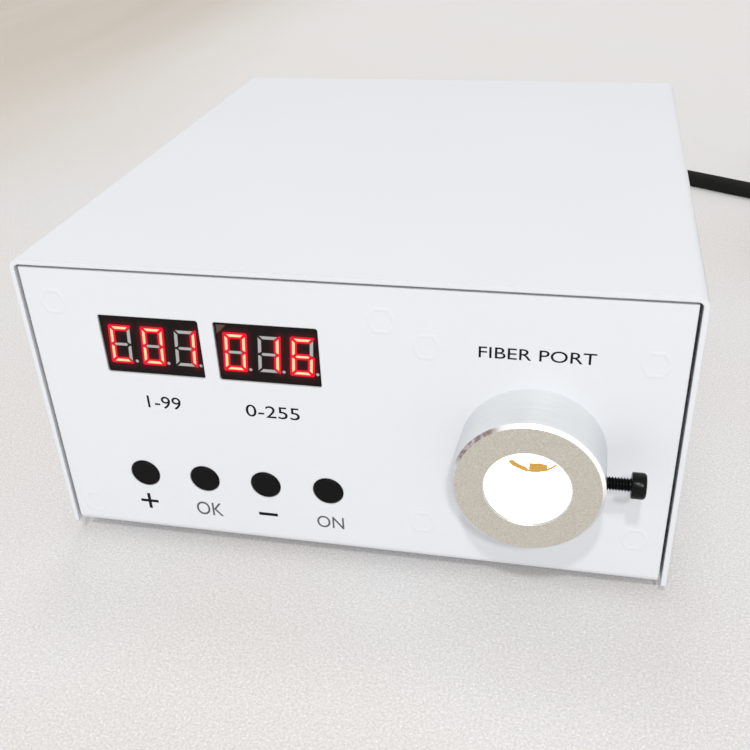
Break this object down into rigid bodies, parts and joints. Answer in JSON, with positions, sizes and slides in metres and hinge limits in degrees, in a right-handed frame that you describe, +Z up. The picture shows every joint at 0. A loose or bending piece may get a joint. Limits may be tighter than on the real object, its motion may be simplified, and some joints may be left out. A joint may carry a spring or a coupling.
{
  "type": "fiber optic illuminator",
  "caption": "Bench light source in a folded white steel case, with two red digit displays, round keys, and a light port collar with a clamp screw.",
  "frame": {"origin": "on the bench, under the middle of the instrument without its cord (between the collar's front face and the power switch's rocker)", "axes": "+X right as seen from the front, +Y from the front panel to the rear panel, +Z up"},
  "size_m": [0.3102, 0.3616, 0.0755],
  "materials": {
    "white_powder_coat": "fine satin powder coat",
    "turned_aluminium": "turned, satin",
    "cast_fins": "extruded",
    "zinc_steel": "zinc plated",
    "black_oxide": "black oxide",
    "nickel": "plated",
    "black_rubber": "matt",
    "black_plastic": "moulded",
    "gloss_black": "smooth",
    "display_face": "smoked",
    "segment_lit": "lit red",
    "segment_dark": "diffuser",
    "white_plastic": "diffuse white",
    "phosphor": "silicone with phosphor",
    "circuit_green": "solder mask",
    "ferrite": "sintered",
    "winding_tape": "polyester tape",
    "capacitor_sleeve": "shrink sleeve",
    "terminal_green": "moulded",
    "fuse_glass": "clear",
    "copper": "bare",
    "wire_brown": "insulation",
    "wire_green": "insulation",
    "wire_red": "insulation",
    "wire_black": "insulation"
  },
  "bodies": {
    "case": {"cover": "white_powder_coat", "chassis": "white_powder_coat", "cover_screws": "zinc_steel", "rubber_feet": "black_rubber", "foot_screws": "zinc_steel", "floor_nuts": "zinc_steel", "port_collar": "turned_aluminium", "collar_screws": "zinc_steel", "panel_studs": "zinc_steel", "stud_nuts": "zinc_steel", "stud_spacers": "nickel", "heat_sink": "cast_fins", "led_board": "turned_aluminium", "led_package": "phosphor", "led_phosphor": "phosphor", "reflector": "white_plastic", "fan_frame": "black_plastic", "fan_screws": "zinc_steel", "display_left": "display_face", "display_right": "display_face", "display_lit_segments": "segment_lit", "display_dark_segments": "segment_dark", "control_board": "circuit_green", "control_chip": "black_plastic", "board_header": "white_plastic", "key_switches": "black_plastic", "supply_board": "circuit_green", "supply_spacers": "nickel", "supply_screws": "zinc_steel", "transformer_core": "ferrite", "transformer_coil": "winding_tape", "mains_capacitor": "capacitor_sleeve", "output_capacitors": "capacitor_sleeve", "terminal_blocks": "terminal_green", "fuse": "fuse_glass", "fuse_clips": "nickel", "supply_cooler": "cast_fins", "supply_transistor": "black_plastic", "rocker_housing": "black_plastic", "switch_tabs": "nickel", "cord_gland": "black_rubber", "mains_cord": "black_rubber", "cord_coil": "black_rubber", "plug_body": "black_rubber", "plug_pins": "nickel", "fan_motor": "copper", "earth_stud": "zinc_steel", "earth_tag": "nickel", "mains_leads": "wire_brown", "earth_lead": "wire_green", "supply_lead": "wire_red", "lamp_lead": "wire_red", "fan_lead": "wire_black"},
    "clamp": {"clamp_screw": "black_oxide"},
    "fan": {"fan_rotor": "black_plastic"},
    "power_rocker": {"rocker": "gloss_black"},
    "plus_button": {"plus_key": "gloss_black"},
    "ok_button": {"ok_key": "gloss_black"},
    "minus_button": {"minus_key": "gloss_black"},
    "on_button": {"on_key": "gloss_black"}
  },
  "joints": [
    {"name": "clamp_screw_travel", "type": "slide", "parent": "case", "child": "clamp", "axis": [-1, 0, 0], "range_m": [0, 0.0046]},
    {"name": "fan_spin", "type": "hinge", "parent": "case", "child": "fan", "pos_m": [0.0415, -0.03772, 0.0369], "axis": [0, 1, 0], "continuous": true},
    {"name": "rocker_tilt", "type": "hinge", "parent": "case", "child": "power_rocker", "pos_m": [-0.024, 0.08418, 0.0475], "axis": [1, 0, 0], "range_deg": [-24, 0]},
    {"name": "plus_press", "type": "slide", "parent": "case", "child": "plus_button", "axis": [0, 1, 0], "range_m": [0, 0.0003], "stiffness_N_per_m": 600, "springref_m": -0.001},
    {"name": "ok_press", "type": "slide", "parent": "case", "child": "ok_button", "axis": [0, 1, 0], "range_m": [0, 0.0003], "stiffness_N_per_m": 600, "springref_m": -0.001},
    {"name": "minus_press", "type": "slide", "parent": "case", "child": "minus_button", "axis": [0, 1, 0], "range_m": [0, 0.0003], "stiffness_N_per_m": 600, "springref_m": -0.001},
    {"name": "on_press", "type": "slide", "parent": "case", "child": "on_button", "axis": [0, 1, 0], "range_m": [0, 0.0003], "stiffness_N_per_m": 600, "springref_m": -0.001}
  ]
}
